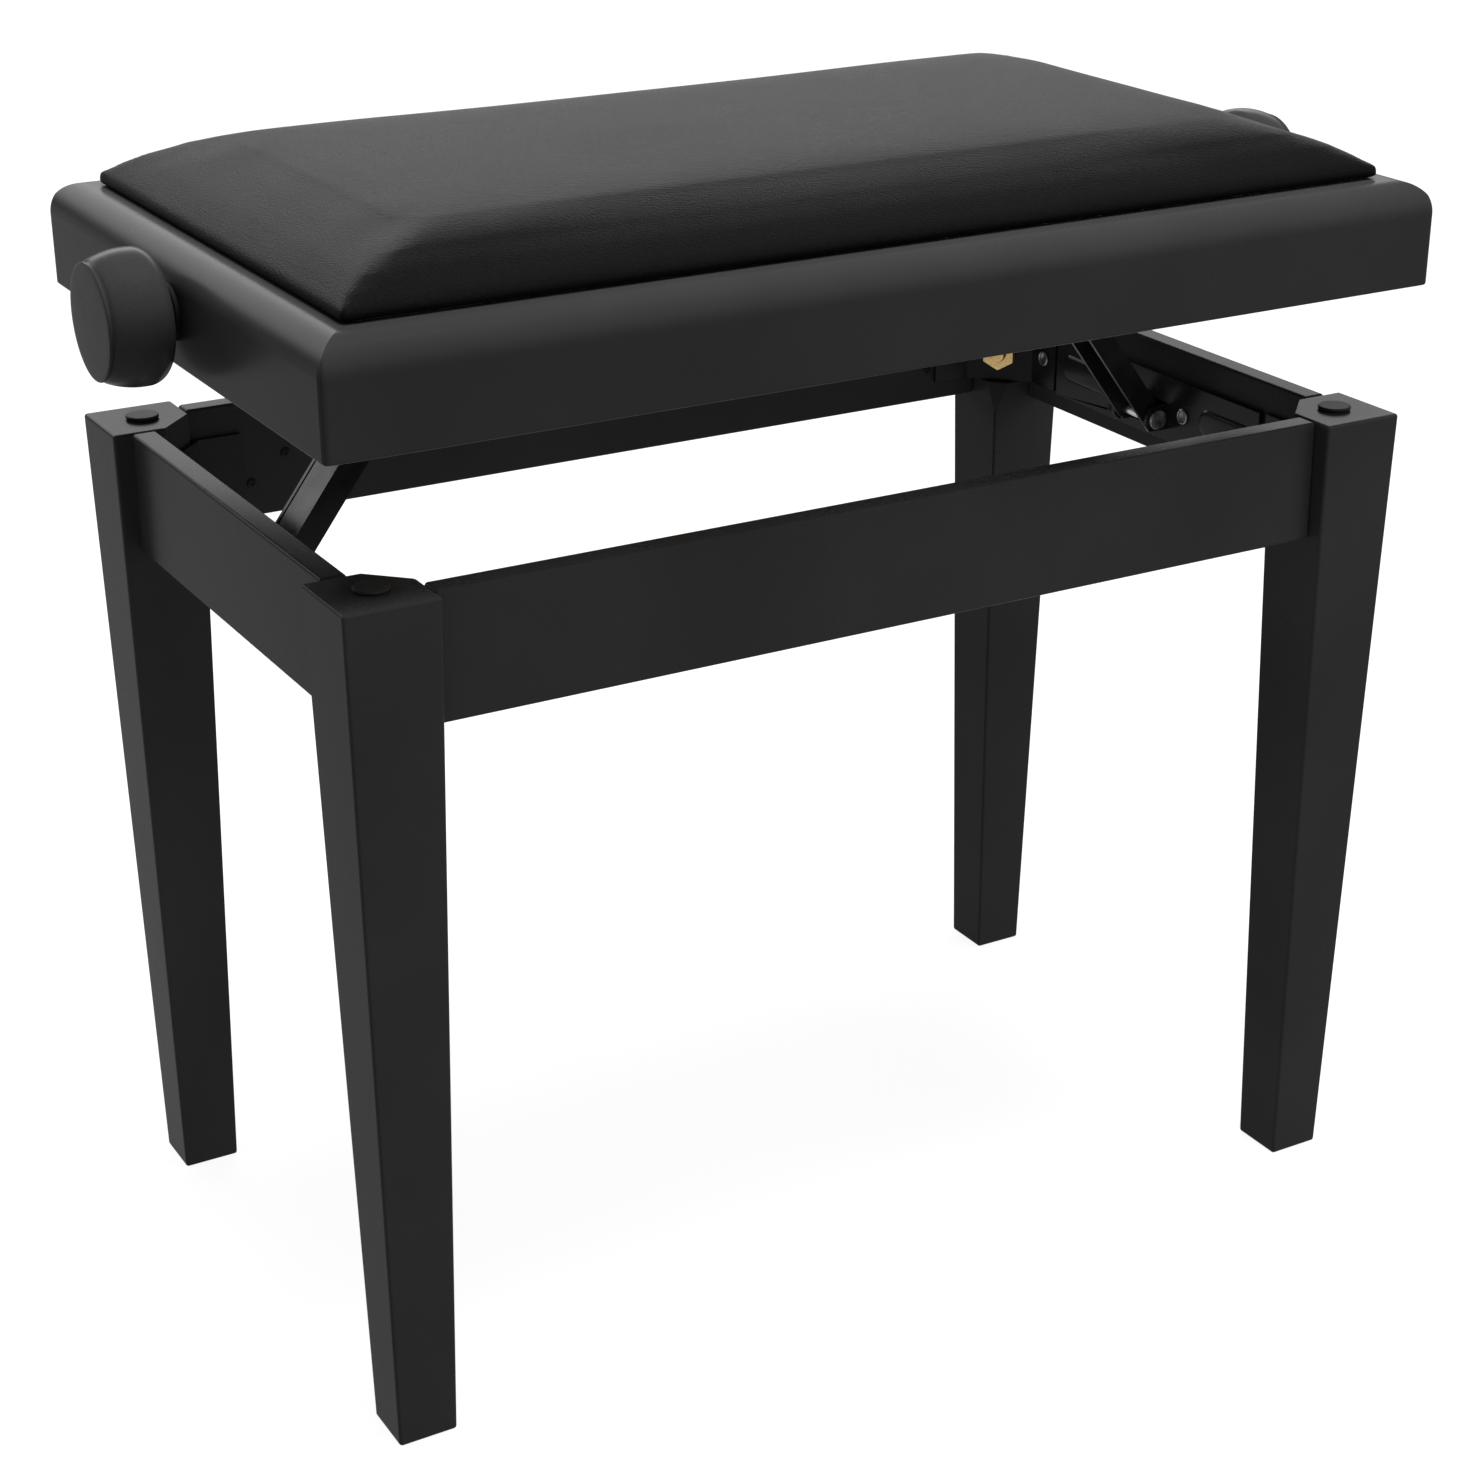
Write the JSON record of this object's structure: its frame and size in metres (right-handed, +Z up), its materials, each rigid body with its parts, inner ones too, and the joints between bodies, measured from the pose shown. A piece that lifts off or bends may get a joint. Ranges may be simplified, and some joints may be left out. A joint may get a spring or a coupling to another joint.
{
  "type": "piano bench",
  "caption": "Height-adjustable piano bench with tapered legs, a crowned black cushion in a rounded frame, and a knob at each end that drives a screw lift.",
  "frame": {"origin": "on the floor, under the centre of the seat", "axes": "+X along the bench to its right end, +Y to its back, +Z up"},
  "size_m": [0.632, 0.33, 0.549],
  "materials": {
    "satin_black_wood": "satin black paint on wood",
    "black_steel": "gloss black powder coat",
    "bright_steel": "oiled steel",
    "brass": "yellow passivated",
    "black_plastic": "matt black nylon",
    "knob_finish": "satin black paint on turned wood",
    "leatherette": "fine-grained black cover over foam",
    "plywood": "raw plywood",
    "felt": "matt black bumper"
  },
  "bodies": {
    "base": {"apron_back": "satin_black_wood", "apron_front": "satin_black_wood", "apron_left": "satin_black_wood", "apron_right": "satin_black_wood", "base_mount_left": "black_steel", "base_mount_right": "black_steel", "base_pin_left": "bright_steel", "base_pin_right": "bright_steel", "corner_bracket_back_left": "black_steel", "corner_bracket_back_right": "black_steel", "corner_bracket_front_left": "black_steel", "corner_bracket_front_right": "black_steel", "leg_back_left": "satin_black_wood", "leg_back_right": "satin_black_wood", "leg_bolt_back_left": "bright_steel", "leg_bolt_back_right": "bright_steel", "leg_bolt_front_left": "bright_steel", "leg_bolt_front_right": "bright_steel", "leg_front_left": "satin_black_wood", "leg_front_right": "satin_black_wood", "leg_nut_back_left": "brass", "leg_nut_back_right": "brass", "leg_nut_front_left": "brass", "leg_nut_front_right": "brass", "rest_pad_back_left": "felt", "rest_pad_back_right": "felt", "rest_pad_front_left": "felt", "rest_pad_front_right": "felt"},
    "arm_left": {"main_arm_left": "black_steel", "middle_pin_left": "bright_steel"},
    "lift_link_left": {"link_left": "black_steel"},
    "seat": {"board_batten_back": "plywood", "board_batten_front": "plywood", "cushion": "leatherette", "seat_board": "plywood", "seat_mount_left": "black_steel", "seat_mount_right": "black_steel", "seat_rail_back": "satin_black_wood", "seat_rail_front": "satin_black_wood", "seat_rail_left": "satin_black_wood", "seat_rail_right": "satin_black_wood", "seat_rivet_back_left": "bright_steel", "seat_rivet_back_right": "bright_steel", "seat_rivet_front_left": "bright_steel", "seat_rivet_front_right": "bright_steel", "spindle_bush_left": "black_plastic", "spindle_bush_right": "black_plastic"},
    "spindle_and_knobs": {"knob_left": "knob_finish", "knob_right": "knob_finish", "spindle": "bright_steel"},
    "lift_link_right": {"link_right": "black_steel"},
    "arm_right": {"main_arm_right": "black_steel", "middle_pin_right": "bright_steel"},
    "nut_left": {"spindle_nut_left": "bright_steel"},
    "nut_right": {"spindle_nut_right": "bright_steel"}
  },
  "joints": [
    {"name": "seat_lift", "type": "hinge", "parent": "base", "child": "arm_left", "pos_m": [-0.2415, 0, 0.372], "axis": [0, -1, 0], "range_deg": [-29.3, 19]},
    {"name": "link_left_hinge", "type": "hinge", "parent": "arm_left", "child": "lift_link_left", "pos_m": [-0.19517, 0, 0.4335], "axis": [0, -1, 0], "range_deg": [-38.5, 59.1]},
    {"name": "seat_left_hinge", "type": "hinge", "parent": "lift_link_left", "child": "seat", "pos_m": [-0.2415, 0, 0.495], "axis": [0, -1, 0], "range_deg": [-29.8, 19.5]},
    {"name": "nut_left_hinge", "type": "hinge", "parent": "arm_left", "child": "nut_left", "pos_m": [-0.14883, 0, 0.495], "axis": [0, -1, 0], "range_deg": [-19.5, 29.8]},
    {"name": "knob_turn", "type": "hinge", "parent": "seat", "child": "spindle_and_knobs", "pos_m": [0, 0, 0.495], "axis": [1, 0, 0], "range_deg": [-4083.6, 2649.8]},
    {"name": "seat_right_hinge", "type": "hinge", "parent": "seat", "child": "lift_link_right", "pos_m": [0.2415, 0, 0.495], "axis": [0, -1, 0], "range_deg": [-29.8, 19.5]},
    {"name": "link_right_hinge", "type": "hinge", "parent": "lift_link_right", "child": "arm_right", "pos_m": [0.19517, 0, 0.4335], "axis": [0, -1, 0], "range_deg": [-38.5, 59.1]},
    {"name": "nut_right_hinge", "type": "hinge", "parent": "arm_right", "child": "nut_right", "pos_m": [0.14883, 0, 0.495], "axis": [0, -1, 0], "range_deg": [-29.8, 19.5]}
  ],
  "couplings": [
    {"joint": "link_left_hinge", "follows": "seat_lift", "ratio": -2},
    {"joint": "seat_left_hinge", "follows": "seat_lift", "ratio": 1},
    {"joint": "nut_left_hinge", "follows": "seat_lift", "ratio": -1},
    {"joint": "knob_turn", "follows": "seat_lift", "ratio": 139.2},
    {"joint": "seat_right_hinge", "follows": "seat_lift", "ratio": 1},
    {"joint": "link_right_hinge", "follows": "seat_lift", "ratio": -2},
    {"joint": "nut_right_hinge", "follows": "seat_lift", "ratio": 1}
  ]
}
